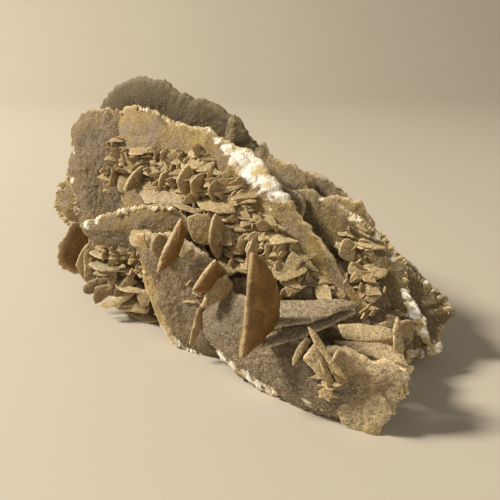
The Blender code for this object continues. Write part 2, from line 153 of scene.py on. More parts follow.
def addLens(whole, crystal, rim, finish, paint):
    # a plate whose two faces slope down to a thin, broken rim. In its finish, "slope" lists (distance in
    # from the rim, share of the half thickness), and from there a row of points follows every "rowEvery"
    # steps to the middle; "ragged" is how far the rim wanders, "relief" the height of the face's bumps,
    # and "rimZone" how far in the rim's look reaches. paint is (tone, honey, white)
    place, aim, thick, bow = crystal
    if leftHanded(rim):
        rim = rim[::-1]
    count = len(rim)
    slope = finish["slope"]
    wide = slope[-1][0] * 1.15                 # a narrower crystal has its slopes squeezed
    middle = sum(rim, Vector((0, 0))) / count
    reach = max((p - middle).length for p in rim)
    rings = len(slope) + round(reach / finish["rowEvery"])
    turn = attitude(*aim)
    place = Vector(place)
    spots = bruisesNear(place, reach)
    bm = newCrystals()
    layers = [bm.verts.layers.float[layer] for layer in paintLayers]
    addBall(bm, count, 2 * rings)
    wander = [finish["ragged"] * bumpsAt(turn @ point.to_3d() + place, rimBumps) for point in rim]
    sorts = enumerate(zip(faceBumpWidths, finish["relief"]))
    faceBumps = [(wide, high, 3 * i) for i, (wide, high) in sorts]
    for vert in bm.verts:
        row = rings - round(math.acos(max(-1, min(1, vert.co.z))) / math.pi * 2 * rings)
        side = (row > 0) - (row < 0)
        i = round(math.atan2(vert.co.y, vert.co.x) / math.tau * count) % count
        out = rim[i] - middle
        squeeze = min(1, out.length / wide)
        if abs(row) < len(slope):
            inward, high = slope[abs(row)]
            inward *= squeeze / out.length
        else:
            start = slope[-1][0] * squeeze / out.length
            high = 1
            inward = start + (1 - start) * (abs(row) - len(slope) + 1) / (rings - len(slope) + 1)
        out = out * (1 + wander[i] / max(out.length, 3) * (1 - inward) ** 3)
        flat = middle + out * (1 - inward)
        height = side * high * thick / 2
        height += bow * (1 - 2 * ((flat - middle).length / reach) ** 2)
        spot = turn @ Vector((flat.x, flat.y, height)) + place
        crust = max(paint[2], bruiseAt(spot, spots))
        bumps = bumpsAt(spot, faceBumps, side)
        bumps += side * crust * (powder["thick"] + bumpsAt(spot, powder["bumps"]))
        vert.co = spot + turn.col[2] * bumps
        atRim = 1 - min(1, inward * out.length / finish["rimZone"])
        for layer, value in zip(layers, (atRim, paint[0], paint[1], crust)):
            vert[layer] = value
    one = bpy.data.meshes.new("one")
    bm.to_mesh(one)
    bm.free()
    whole.from_mesh(one)
    bpy.data.meshes.remove(one)


def settle(bm):
    # worn flat where it stands, and brought from the grid to metres
    for vert in bm.verts:
        vert.co.z = max(vert.co.z, stone["floorCut"])
        vert.co = (vert.co + shift) * step
    for face in bm.faces:
        face.smooth = True


def newPiece(name, mesh, material):
    piece = bpy.data.objects.new(name, mesh)
    bpy.context.scene.collection.objects.link(piece)
    mesh.materials.append(material)
    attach(piece, "root")
    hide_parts("sand_rose")
    print(name, sum(len(p.vertices) - 2 for p in mesh.polygons), "triangles")
    return piece


def meshOf(name, bm, crisp=False):
    settle(bm)
    mesh = bpy.data.meshes.new(name)
    bm.to_mesh(mesh)
    bm.free()
    if crisp:
        mesh.set_sharp_from_angle(angle=math.radians(sharpAngle))
    return mesh


def joinCopies(name, seeds, placings):
    # many copies of a few small meshes in one: placings are (3x3 matrix, place, paint) on the grid, and
    # they take the seeds in turn
    spots = []
    faces = []
    values = {layer: [] for layer in paintLayers}
    start = 0
    for k, seed in enumerate(seeds):
        rimLayer = seed.verts.layers.float["rim"]
        base = np.array([v.co for v in seed.verts])
        rimValues = [v[rimLayer] for v in seed.verts]
        loops = [[v.index for v in f.verts] for f in seed.faces]
        mine = placings[k::len(seeds)]
        turns = np.array([placing[0] for placing in mine])
        places = np.array([placing[1] for placing in mine])
        spots.append((np.einsum("nij,vj->nvi", turns, base) + places[:, None, :]).reshape(-1, 3))
        count = len(base)
        faces += [[start + i + count * n for i in loop] for n in range(len(mine)) for loop in loops]
        start += count * len(mine)
        values["rim"].append(np.tile(rimValues, len(mine)))
        values["tone"].append(np.repeat([paint[0] for _, _, paint in mine], count))
        values["honey"].append(np.repeat([paint[1] for _, _, paint in mine], count))
        white = [max(paint[2], bruiseAt(Vector(at), bruisesNear(Vector(at), 0))) for _, at, paint in mine]
        values["bruise"].append(np.repeat(white, count))
        seed.free()
    verts = np.concatenate(spots)
    verts[:, 2] = np.maximum(verts[:, 2], stone["floorCut"])
    mesh = bpy.data.meshes.new(name)
    mesh.from_pydata((verts + np.array(shift)) * step, [], faces)
    for layer, numbers in values.items():
        numbers = np.concatenate(numbers).astype(np.float32)
        mesh.attributes.new(layer, "FLOAT", "POINT").data.foreach_set("value", numbers)
    return mesh


def linear(hexColour):
    # sRGB hex to linear red, green, blue, alpha
    parts = [int(hexColour[i:i + 2], 16) / 255 for i in (1, 3, 5)]
    return tuple(c / 12.92 if c <= 0.04045 else ((c + 0.055) / 1.055) ** 2.4 for c in parts) + (1.0,)


def addNode(tree, kind, output, inputs=None, **settings):
    # a new node with its settings, its inputs filled or linked; gives the output asked for
    node = tree.nodes.new("ShaderNode" + kind)
    for name, value in settings.items():
        setattr(node, name, value)
    for name, value in (inputs or {}).items():
        if isinstance(value, bpy.types.NodeSocket):
            tree.links.new(value, node.inputs[name])
        else:
            node.inputs[name].default_value = value
    return node.outputs[output]


# the surface's noises: (width of one bump in mm, detail, part of the noise used, values it becomes)
surfaceNoises = {
    "patches": (14, 4, (0.4, 0.6), (0, 1)),           # warmer and colder areas
    "zoneEnd": (5, 2, (0, 1), (0, 0.6)),              # where the clear zone ends
    "honey": (7, 2, (0.3, 0.6), (0, 1)),              # how strong its colour is
    "edge": (2.5, 2, (0, 1), (-0.06, 0.06)),          # how far in the pale edge reaches
    "sand": (0.9, 3, (0.3, 0.7), (-0.33, 0.3)),       # grains of 0.45 mm, drawn twice as coarse, to show
    "torn": (2.2, 4, (0.3, 0.7), (0.1, 0.9)),         # outline of a bruise
    "dust": (6, 2, (0.46, 0.6), (0, 1)),              # dirt on its powder
    "grit": (0.8, 3, (0, 1), (0, 1)),                 # the sugary surface, fine and coarse
    "lumps": (2.4, 2, (0, 1), (0, 1.5)),
}
grainWidth = 0.45                # mm, one grain of desert sand
# a Mix node's sockets for colours, by number: their names are shared with those for numbers
mixShare, mixFrom, mixTo, mixed = 0, 6, 7, 2


def gypsum(name, look):
    # gypsum grown through desert sand: a matt, sugary surface, clearer and honey-coloured at the rims,
    # bruised to white powder where a rim was knocked
    material = bpy.data.materials.new(name)
    material.use_nodes = True
    tree = material.node_tree
    shader = tree.nodes["Principled BSDF"]
    colours = {part: linear(value) for part, value in look.items() if str(value).startswith("#")}
    place = addNode(tree, "TexCoord", "Object")
    rim, tone, honey, bruise = [addNode(tree, "Attribute", "Fac", attribute_name=layer)
                                for layer in paintLayers]
    noises = {}
    for use, (size, detail, (low, high), (least, most)) in surfaceNoises.items():
        value = addNode(tree, "TexNoise", "Fac", {"Vector": place, "Scale": 1000 / size, "Detail": detail})
        noises[use] = addNode(tree, "MapRange", "Result", {
            "Value": value, "From Min": low, "From Max": high, "To Min": least, "To Max": most})

    # from the rim inwards: the pale edge, partly the rim's own paler colour and partly a painted highlight
    # along it, and the clear honey-coloured zone, or ashes where honey is below 0
    edge = addNode(tree, "Math", 0, {0: rim, 1: noises["edge"]}, operation="ADD")
    edge = addNode(tree, "MapRange", "Result",
                   {"Value": edge, "From Min": look["edgeFrom"], "To Max": look["edgeShare"]})
    zone = addNode(tree, "Math", 0, {0: rim, 1: noises["zoneEnd"]}, operation="ADD")
    zone = addNode(tree, "MapRange", "Result", {"Value": zone, "From Min": 0.5, "From Max": 1.15})
    zone = addNode(tree, "Math", 0, {0: zone, 1: look["honeyAll"]}, operation="MAXIMUM")
    zone = addNode(tree, "Math", 0, {0: zone, 1: honey}, operation="MULTIPLY")
    depth = addNode(tree, "Math", 0, {0: zone, 1: noises["honey"]}, operation="MULTIPLY")
    ashes = addNode(tree, "Math", 0, {0: honey, 1: -1.0}, operation="MULTIPLY")
    colour = colours["face"]
    covers = {"faceWarm": noises["patches"], "honey": depth, "ashy": ashes, "edge": edge}
    for wanted, cover in covers.items():
        colour = addNode(tree, "Mix", mixed, {mixShare: cover, mixFrom: colour, mixTo: colours[wanted]},
                         data_type="RGBA")

    # sand, and less of it where the gypsum is clear: lighter and darker speckle, dark grains, and pale
    # grains that are partly pale sand and partly painted glints
    sandy = addNode(tree, "Math", 0, {0: zone, 1: -0.35, 2: 1.0}, operation="MULTIPLY_ADD")
    bright = addNode(tree, "Math", 0, {0: noises["sand"], 1: sandy, 2: 0.99}, operation="MULTIPLY_ADD")
    # each crystal's tone brightens or darkens it here; on some named crystals that is painted light and
    # shade
    bright = addNode(tree, "Math", 0, {0: tone, 1: look["toneSpread"], 2: bright}, operation="MULTIPLY_ADD")
    colour = addNode(tree, "HueSaturation", "Color", {"Value": bright, "Color": colour})
    cells = addNode(tree, "TexVoronoi", "Color", {"Vector": place, "Scale": 1000 / grainWidth})
    pick = addNode(tree, "SeparateColor", "Red", {"Color": cells})
    for low, high, strength, wanted in ((0.16, 0.12, 0.45, "darkGrain"), (0.86, 0.9, 0.26, "paleGrainAndGlint")):
        grain = addNode(tree, "MapRange", "Result",
                        {"Value": pick, "From Min": low, "From Max": high, "To Max": strength})
        grain = addNode(tree, "Math", 0, {0: grain, 1: sandy}, operation="MULTIPLY")
        colour = addNode(tree, "Mix", mixed, {mixShare: grain, mixFrom: colour, mixTo: colours[wanted]},
                         data_type="RGBA")

    # powder with a torn outline over the bruises
    torn = addNode(tree, "Math", 0, {0: bruise, 1: noises["torn"]}, operation="ADD")
    within = addNode(tree, "MapRange", "Result", {"Value": bruise, "From Max": 0.12})
    white = addNode(tree, "Math", 0, {0: torn, 1: within}, operation="MULTIPLY")
    white = addNode(tree, "MapRange", "Result", {"Value": white, "From Min": 0.62})
    crust = addNode(tree, "Mix", mixed,
                    {mixShare: noises["dust"], mixFrom: colours["bruise"], mixTo: colours["bruiseWarm"]},
                    data_type="RGBA")
    colour = addNode(tree, "Mix", mixed, {mixShare: white, mixFrom: colour, mixTo: crust}, data_type="RGBA")
    tree.links.new(colour, shader.inputs["Base Color"])

    sugary = addNode(tree, "Math", 0, {0: noises["grit"], 1: noises["lumps"]}, operation="ADD")
    bump = addNode(tree, "Bump", "Normal", {"Height": sugary, "Strength": 0.6, "Distance": 0.0005})
    tree.links.new(bump, shader.inputs["Normal"])
    shader.inputs["Roughness"].default_value = look["roughness"]
    shader.inputs["IOR"].default_value = 1.52                      # gypsum's own
    shader.inputs["Subsurface Weight"].default_value = look["clear"]
    shader.inputs["Subsurface Radius"].default_value = (1.0, 0.6, 0.3)
    shader.inputs["Subsurface Scale"].default_value = 0.003       # light gets 3 mm deep
    print("material", name)
    return material


# worn white spots: (place, radius)
bruises = [
    ((-33, -8, 104), 2.5), ((-26, -8, 100), 2.6), ((-18, -9, 96), 3.2), ((-11, -9, 92), 4.4),
    ((-5, -9, 89), 6.5), ((1, -9, 86), 6.5), ((10, -10, 80), 5), ((16, -10, 77), 4), ((12, -14, 70), 2),
    ((34, -12, 67), 2), ((-70, -12, 110), 2), ((-91, -17, 107), 1.5), ((-81, -56, 54), 3),
    ((-72, -55, 59), 3), ((-54, -52, 67), 2), ((-33, -56, 39), 1.5), ((-23, -57, 8), 4), ((-15, -55, 4), 4),
    ((-6, -54, 1), 2), ((18, -58, 10), 3), ((26, -58, 8), 3), ((33, -59, 6), 3), ((40, -59, 5), 3),
    ((47, -59, 4), 3), ((67, -58, 8), 2), ((99, -44, 26), 1.6), ((99, -46, 18), 1.6), ((97, -47, 12), 1.8),
    ((94, -49, 7), 1.5), ((28, 9, 74), 2), ((35, 9, 72), 2), ((47, 10, 67), 3), ((59, 10, 59), 2),
    ((70, 10, 51), 2), ((84, 6, 27), 3), ((89, 5, 21), 3), ((86, 0, 7), 3), ((-123, -27, 84), 2),
    ((-125, -31, 66), 2), ((-138, -32, 58), 1.5), ((-126, -29, 45), 2.5),
]

# what the three gypsums share: ashes, pale edge (partly painted highlight), sand grains (the pale ones
# partly painted glints) and powder
sharedColours = {"ashy": "#8e7f69", "edge": "#cfba90", "darkGrain": "#45351f", "paleGrainAndGlint": "#d9c9a4",
                 "bruise": "#f2ecdf", "bruiseWarm": "#c9b07c"}
plateGypsum = gypsum("sandy gypsum plate", {        # matt grey-brown, full of sand, hardly clear anywhere
    **sharedColours, "face": "#7a6a56", "faceWarm": "#756144", "honey": "#866f3b", "honeyAll": 0.0,
    "edgeFrom": 0.93, "edgeShare": 0.7, "toneSpread": 0.1, "roughness": 0.82, "clear": 0.1})
# the leaf's pale, bright rim is partly a painted highlight
leafGypsum = gypsum("sandy gypsum leaf", {          # straw-coloured crystals with a pale, bright rim
    **sharedColours, "face": "#9e865b", "faceWarm": "#aa976e", "honey": "#846024", "honeyAll": 1.0,
    "edgeFrom": 0.3, "edgeShare": 0.65, "toneSpread": 0.14, "roughness": 0.78, "clear": 0.12})
goldenGypsum = gypsum("clear golden gypsum", {      # cleaner selenite: deep amber, a little light in it
    **sharedColours, "paleGrainAndGlint": "#a88a50", "face": "#92692c", "faceWarm": "#7d5618",
    "honey": "#75500f", "honeyAll": 1.0, "edgeFrom": 0.3, "edgeShare": 0.7, "toneSpread": 0.1,
    "roughness": 0.6, "clear": 0.2})

# name: (place, (heading, pitch), thickness, bow, outline in the plate's own plane)
frontPlates = {
    "leftLeaf": ((-94, -21, 64), (14, 10), 9, 1, [
        (-22, -26), (-31, -10), (-37, 4), (-38, 12), (-34, 19), (-35, 27), (-32, 37), (-20, 44), (-4, 45),
        (5, 38), (10, 22), (18, -20), (14, -42), (-6, -38)]),
    "crest": ((-10, -16, 60), (10, 22), 11, 2, [
        (-80, 24), (-85, 40), (-88, 48), (-79, 55), (-70, 54), (-59, 53), (-48, 48), (-34, 47), (-20, 45),
        (-3, 39), (8, 34), (18, 26), (28, 18), (38, 8), (47, 1), (57, -9), (68, -21), (79, -30), (70, -44),
        (30, -46), (-20, -44), (-62, -22)]),
    "shelf": ((-66, -50, 50), (12, -6), 9, 1, [
        (-22, 0), (-10, 7), (3, 13), (12, 13), (24, 20), (44, 20), (56, 8), (46, -12), (20, -18), (-4, -14),
        (-17, -8)]),
    "leftFoot": ((-26, -52, 30), (12, 5), 11, 1, [
        (-17, 25), (-13, 16), (-7, 6), (-6, -8), (-2, -16), (8, -27), (20, -33), (34, -32), (44, -20),
        (40, 6), (26, 22), (4, 30)]),
    "frontFoot": ((40, -53, 22), (0, 10), 9, 1, [
        (-39, 8), (-39, -3), (-36, -8), (-24, -14), (-12, -19), (0, -21), (14, -21), (34, -19), (46, -6),
        (42, 3), (24, 6), (8, 11), (-1, 20), (-20, 19)]),
    "fanFoot": ((85, -48, 20), (20, 8), 8, 1, [
        (-16, -8), (-10, -18), (0, -22), (9, -17), (11, -12), (15, -3), (17, 6), (17, 10), (3, 11),
        (-12, 13), (-22, 2)]),
    "rightWing": ((45, 5, 38), (10, 15), 10, 1, [
        (-27, 40), (-14, 36), (4, 28), (16, 21), (28, 11), (31, 0), (37, -8), (44, -18), (47, -25),
        (38, -38), (10, -40), (-20, -30), (-40, -4), (-42, 26)]),
    "farLeft": ((-124, -26, 50), (20, 4), 5, 0, [
        (-5, 18), (-13, 9), (-18, -1), (-18, -7), (-10, -14), (8, -20), (24, -10), (22, 14)]),
    "brownLeaf": ((-121, -46, 24), (60, 0), 5, 0, [
        (14, 19), (5, 14), (0, 6), (-3, -4), (-2, -10), (5, -15), (16, -16), (26, -6), (24, 12)]),
    "leftPost": ((-84, -46, 25), (20, 0), 6, 0, [
        (-4, 18), (-8, 6), (-10, -6), (-8, -16), (2, -20), (20, -14), (24, 4), (14, 20)]),
}
rearPlates = {
    "rearTall": ((-76, 12, 66), (6, 4), 10, 2, [
        (-60, -36), (-72, -8), (-72, 24), (-63, 44), (-51, 53), (-44, 56), (-31, 60), (-8, 57), (-1, 52),
        (24, 48), (43, 38), (54, 25), (59, 4), (48, -30), (8, -50), (-40, -50)]),
    "midBack": ((-5, 14, 70), (6, 8), 8, 1, [
        (-13, 22), (-8, 25), (-3, 19), (7, 16), (17, 12), (21, 4), (20, -10), (8, -30), (-20, -34),
        (-40, -20), (-36, 8)]),
    "midFront": ((10, 0, 70), (6, 14), 7, 1, [
        (-30, 22), (-16, 19), (0, 9), (9, 6), (14, -2), (13, -12), (2, -28), (-24, -30), (-42, -8)]),
    "darkKnoll": ((20, 28, 62), (8, 8), 8, 1, [
        (-22, 8), (-12, 10), (4, 11), (7, 2), (6, -12), (-6, -30), (-26, -28), (-34, -8)]),
    "backWing": ((42, 22, 55), (10, 10), 8, 1, [
        (-22, 14), (-1, 15), (7, 8), (9, 0), (6, -20), (-10, -34), (-34, -28), (-40, -4)]),
    "rightEnd": ((82, 16, 25), (15, 8), 9, 1, [
        (-14, 19), (-2, 15), (11, 8), (11, 4), (16, 1), (13, -4), (11, -15), (9, -22), (-8, -26),
        (-30, -20), (-36, 4), (-28, 18)]),
    "backTall": ((-62, 36, 58), (184, 12), 9, 1, [
        (-58, -30), (-56, -4), (-46, 22), (-22, 40), (4, 44), (34, 34), (56, 8), (54, -24), (26, -46),
        (-30, -50)]),
    "backCrest": ((6, 40, 44), (170, 18), 9, 1, [
        (-50, -20), (-48, 8), (-26, 32), (2, 38), (30, 24), (48, 4), (50, -22), (24, -40), (-20, -42)]),
    "backEnd": ((58, 34, 30), (158, 12), 8, 1, [
        (-36, -16), (-32, 4), (-10, 15), (14, 18), (32, 6), (34, -16), (12, -30), (-18, -32)]),
    "backLeft": ((-112, 12, 44), (228, 8), 8, 1, [
        (-34, -24), (-36, 4), (-22, 28), (2, 36), (24, 24), (34, 0), (28, -30), (0, -44)]),
    "backFoot": ((-34, 50, 24), (182, 24), 9, 1, [
        (-52, -14), (-44, 6), (-20, 18), (10, 20), (38, 12), (52, -8), (40, -26), (0, -30), (-36, -28)]),
}
plateFinish = {"density": 0.62, "rowEvery": 3, "ragged": 1.1, "relief": (0.5, 0.3, 0.3),
               "slope": ((0, 0), (0.5, 0.16), (1.3, 0.26), (2.6, 0.4), (4.3, 0.56), (6.5, 0.75),
                         (9, 0.9), (13, 1))}
# (how bright a plate is, how clear and honey-coloured its rim zone is, how far in that reaches); the
# brightness of some plates is painted light and shade, as marked
platePaints = {
    # painted shade: rearTall's low brightness; painted light: crest's raised brightness
    "rearTall": (-6.5, 2.8, 60), "leftLeaf": (-0.7, 0.5, 26), "crest": (1.8, 1, 50),
    # painted shade: the low brightness of shelf and frontFoot
    "shelf": (-1.8, 1, 26), "leftFoot": (0.6, 0, 60), "frontFoot": (-1.4, -0.3, 26),
    # painted light: fanFoot's high brightness
    "fanFoot": (6.5, -0.1, 40), "rightWing": (-3.5, 1.2, 60), "midBack": (1.2, 0.5, 26),
    "darkKnoll": (-1.0, 0, 26), "backWing": (1.2, 0.7, 26), "rightEnd": (-2.4, 0.3, 26),
    # painted shade: brownLeaf's low brightness
    "farLeft": (3.6, 0.6, 26), "brownLeaf": (-1, 1, 6),
}
plainPlate = {"tones": (-0.5, 0.5), "honey": 0.5, "rimZone": 26}      # the plates that aren't named above


def growPlates(name, table, seed, material):
    rng = random.Random(seed)
    bm = newCrystals()
    for part, (place, aim, thick, bow, outline) in table.items():
        plain = (rng.uniform(*plainPlate["tones"]), plainPlate["honey"], plainPlate["rimZone"])
        tone, honey, rimZone = platePaints.get(part, plain)
        rim = smoothOutline(outline, plateFinish["density"])
        finish = {**plateFinish, "rimZone": rimZone}
        addLens(bm, (place, aim, thick, bow), rim, finish, (tone, honey, 0))
    return newPiece(name, meshOf(name, bm), material)


brownLeaf = {"brownLeaf": frontPlates["brownLeaf"]}
sandyPlates = {part: plate for part, plate in frontPlates.items() if part not in brownLeaf}
frontPiece = growPlates("front_plates", sandyPlates, 3, plateGypsum)
rearPiece = growPlates("rear_plates", rearPlates, 4, plateGypsum)
growPlates("brown_leaf", brownLeaf, 5, goldenGypsum)

# name: (place, (heading, pitch), thickness, corners in the blade's own plane)
blades = {
    "spear": ((46, -54, 40), (79, -2), 6, [
        (-15, 33), (-16, 23), (-17, 12), (-18, -2), (-20, -14), (-10, -12), (1, -5), (2, 8), (-4, 22),
        (-9, 28)]),
    "goldenTriangle": ((-9, -52, 53), (76, 0), 5, [
        (-1, 18), (2, 13), (1, 8), (-2, 2), (-6, -2), (-11, -5), (-15, -6), (-13, 1), (-9, 7), (-4, 14)]),
    "obliqueThin": ((-28, -38, 58), (60, 0), 5, [
        (3, 10), (6, 6), (2, -2), (-3, -10), (-7, -15), (-7, -9), (-4, -3), (-1, 3)]),
    "broadPale": ((-50, -28, 72), (0, 62), 5, [
        (-16, -4), (-17, 2), (-18, 13), (-2, 10), (22, -3), (24, -7), (9, -10), (-1, -11)]),
    "slabTop": ((56, -36, 39), (0, 80), 4, [
        (-11, -24), (-6, -19), (3, -11), (7, -3), (14, 10), (8, 10), (1, 7), (-10, 0), (-22, -8)]),
    "slabLow": ((57, -37, 33), (0, 80), 4, [
        (-11, -28), (0, -14), (6, -1), (11, 13), (8, 16), (-1, 5), (-15, 8), (-21, -13)]),
    "wedgeTop": ((79, -37, 36), (5, 52), 5, [(-12, -1), (-3, 3), (11, 4), (13, 0), (3, -4), (-7, -6)]),
    "wedgeLow": ((84, -42, 30), (5, 48), 6, [
        (-16, 0), (-9, 2), (2, 5), (11, 5), (17, -1), (8, -2), (-2, -2), (-9, -3)]),
    "wedgeUpright": ((94, -39, 39), (55, 5), 4, [(-1, 10), (1, 5), (3, -7), (2, -10), (-1, -6), (-3, 4)]),
    "lobeLow": ((86, -51.4, 20), (21, 9), 2, [(-10, -2), (-7, -17), (0, -22), (6, -18), (3, -9), (-4, 3)]),
    "lobeMiddle": ((86.4, -51.4, 20), (18, 9), 2, [
        (-4, -4), (4, -18), (10, -15), (13, -8), (9, -2), (-2, 6)]),
    "lobeTop": ((86, -51.2, 20), (23, 9), 2, [(0, 3), (10, -6), (15, -5), (16, 3), (14, 10), (2, 10)]),
    "rimBand": ((-25, -55.5, 30), (12, 5), 4, [
        (-13, 28), (-11, 21), (-10, 14), (-9, 5), (-8, -2), (-4, -8), (1, -18), (9, -26), (13, -27),
        (9, -20), (5, -11), (1, -3), (-1, 5), (-3, 14), (-5, 23), (-8, 29)]),
    "diagonalBlade": ((75, -59, 35), (40, 30), 4, [
        (-8, 10), (-5, 8), (0, 0), (4, -6), (7, -11), (2, -8), (-2, -2), (-6, 4)]),
    "underLeafA": ((72, -57, 30), (45, 35), 3, [(-9, 1), (-3, 7), (1, 4), (2, -3), (-2, -8), (-5, -4)]),
    "underLeafB": ((75, -60, 21), (50, 10), 3, [(-3, 11), (1, 6), (4, -2), (1, -3), (-1, 3)]),
    "underLeafC": ((80, -56, 29), (60, 5), 3, [
        (-3, 8), (0, 7), (2, 2), (3, -7), (-1, -8), (-6, -1), (-7, 3)]),
    "curvedBlade": ((13, -56, 41), (55, 0), 5, [
        (-7, -7), (-4, -1), (1, 5), (6, 8), (9, 3), (6, -4), (-1, -6)]),
    "goldenBlade": ((11, -55, 46), (75, 0), 5, [(2, 10), (-5, 4), (-11, -2), (-8, -4), (1, -5), (8, 2)]),
    "trapezoid": ((-14, -35, 58), (25, -5), 4, [(-7, 7), (3, 8), (8, -2), (6, -6), (-5, -5), (-5, 1)]),
    "rimFlake": ((-25, -33, 69), (10, 68), 3, [(-19, 6), (-8, 2), (8, -2), (8, -5), (-3, -3), (-12, 0)]),
    "pointedLeaf": ((-11, -28, 70), (0, 65), 4, [(-14, 1), (-2, 5), (10, 4), (15, 0), (6, -4), (-5, -4)]),
    "bigShelf": ((35, -24, 38), (0, 58), 5, [(-10, 1), (-3, 5), (6, 6), (5, 0), (-4, -6)]),
    "ledgeA": ((-66, -54, 38), (32, 84), 2.5, [
        (-12, 3), (-7, -2), (-2, -4), (4, -4), (7, -2), (8, 5), (1, 8), (-6, 8)]),
    "ledgeB": ((-66, -54, 33), (30, 84), 3, [
        (-11, -1), (-6, -6), (0, -8), (7, -6), (9, -3), (8, 4), (-2, 6), (-9, 3)]),
    "underSmall": ((62, -60, 32), (50, 10), 3, [(3, 5), (5, 3), (1, -2), (-3, -7), (-3, -4), (-1, 1)]),
    "cupOuter": ((-75, -54, 19), (34, 12), 2.5, [
        (-10, -6), (-10, -2), (-7, 1), (-1, 3), (7, 4), (8, 1), (2, -1), (-2, -5), (-6, -7)]),
    "cupRim": ((-64, -58, 12), (20, 40), 2.5, [
        (-6, -2), (-2, -4), (5, -1), (11, 3), (15, 8), (9, 9), (5, 6), (1, 2)]),
    "cupInner": ((-68, -57, 17), (30, 8), 2.5, [
        (-6, -8), (-7, -4), (-5, 2), (0, 4), (7, 5), (6, 1), (1, -3), (-3, -7)]),
    "cupFace": ((-60, -54, 17), (40, -10), 2.5, [(-1, 4), (5, 4), (3, -1), (-1, -3), (-3, -1)]),
    "cupColumn": ((-78, -50, 30), (38, 5), 3, [
        (-9, 9), (-6, 11), (-5, 7), (-5, -1), (-7, -11), (-10, -12), (-10, 0)]),
    "cupWall": ((-62, -55, 28), (0, 5), 3, [(-3, 3), (2, 5), (4, 0), (1, -6), (-3, -6)]),
    "cupBlade": ((-52, -57, 22), (12, 78), 2.5, [
        (-10, 5), (-5, 1), (2, 0), (12, 2), (12, 5), (5, 4), (-4, 6)]),
    "cupShelf": ((-60, -56, 31), (36, 84), 2, [
        (-9, 4), (-3, 0), (4, 0), (11, 2), (12, 7), (3, 8), (-6, 8)]),
    "cupTriangle": ((-54, -54, 26), (60, 20), 2.5, [(-3, -2), (0, 1), (4, 5), (7, 5), (6, 2), (2, -4)]),
    "paleSliver": ((-70, -57, 28), (30, 50), 2.5, [(-3, 1), (0, -2), (4, -2), (5, 0), (1, 1)]),
    "underPetalA": ((-56, -51, 10), (10, 40), 3, [
        (-11, -2), (-5, 1), (4, 4), (14, 2), (13, -2), (4, -3), (-5, -4)]),
    "underPetalB": ((-51, -47, 3), (15, 50), 3, [(-13, 0), (-5, 2), (5, 3), (14, 0), (7, -3), (-3, -2)]),
    "footSliver": ((2, -56, 18), (60, 0), 3, [
        (2, 14), (3, 8), (2, 1), (-1, -6), (-5, -8), (-4, -2), (-1, 7)]),
    "quadFace": ((-8, -41, 62), (30, 15), 3, [
        (-7, 6), (-2, 8), (3, 8), (7, 2), (11, -4), (8, -7), (0, -7), (-4, -6), (-6, 0)]),
    "hollowFace": ((9, -36, 36), (25, 25), 3, [
        (-7, -3), (-4, 1), (0, 3), (5, 4), (8, 2), (9, -6), (2, -7), (-4, -7)]),
    "towerLeaf": ((-32, 10, 98), (-18, 0), 4, [
        (-6, -9), (-1, -12), (4, -4), (7, 8), (5, 12), (0, 9), (-5, 0)]),
    "sideCup": ((-41, -52, 20), (10, 10), 3, [(-4, 3), (1, 5), (4, 2), (4, -4), (-1, -6), (-4, -2)]),
}
bladeFinish = {"density": 1.1, "rowEvery": 3, "ragged": 0.35, "relief": (0.2, 0.2, 0.15), "rimZone": 1.6,
               "thinner": 0.65, "slope": ((0, 0), (0.15, 0.3), (0.7, 0.6), (1.7, 0.82), (3.4, 1))}
# darker and clearer blades: (tone, honey); some of these tones are painted shade and some painted light, as
# marked
bladePaints = {
    # painted shade: spear's dark tone
    "spear": (-1.6, 1), "goldenTriangle": (-0.6, 0.7), "goldenBlade": (-0.5, 0.7),
    "obliqueThin": (-0.4, 0.6), "broadPale": (0.8, -0.5), "slabTop": (-0.8, -0.7),
    # painted light: the raised tones of wedgeTop and wedgeLow, on their upper faces
    "slabLow": (-0.2, -0.8), "wedgeTop": (1.2, -0.3), "wedgeLow": (0.8, -0.3), "wedgeUpright": (1, -0.3),
    "lobeLow": (-0.6, -0.7), "lobeMiddle": (-0.2, -0.6), "lobeTop": (-0.4, -0.6), "rimBand": (1.8, 0.4),
    "ledgeA": (0.6, -0.2), "ledgeB": (-0.4, -0.6), "cupShelf": (1, -0.2), "cupColumn": (0.6, 0),
    "cupTriangle": (0.4, -0.2), "cupBlade": (1, -0.2), "paleSliver": (2.5, -0.5), "cupWall": (-2.5, 0.5),
    "cupOuter": (-2.4, 0.9), "cupInner": (-2.2, 0.9), "cupRim": (1, 0), "cupFace": (-3, 0.9),
    # painted shade: the dark tones of towerLeaf and hollowFace
    "towerLeaf": (-3, 0.3), "footSliver": (-0.5, 0.4), "hollowFace": (-3, -0.3), "quadFace": (-1, 0.6),
}

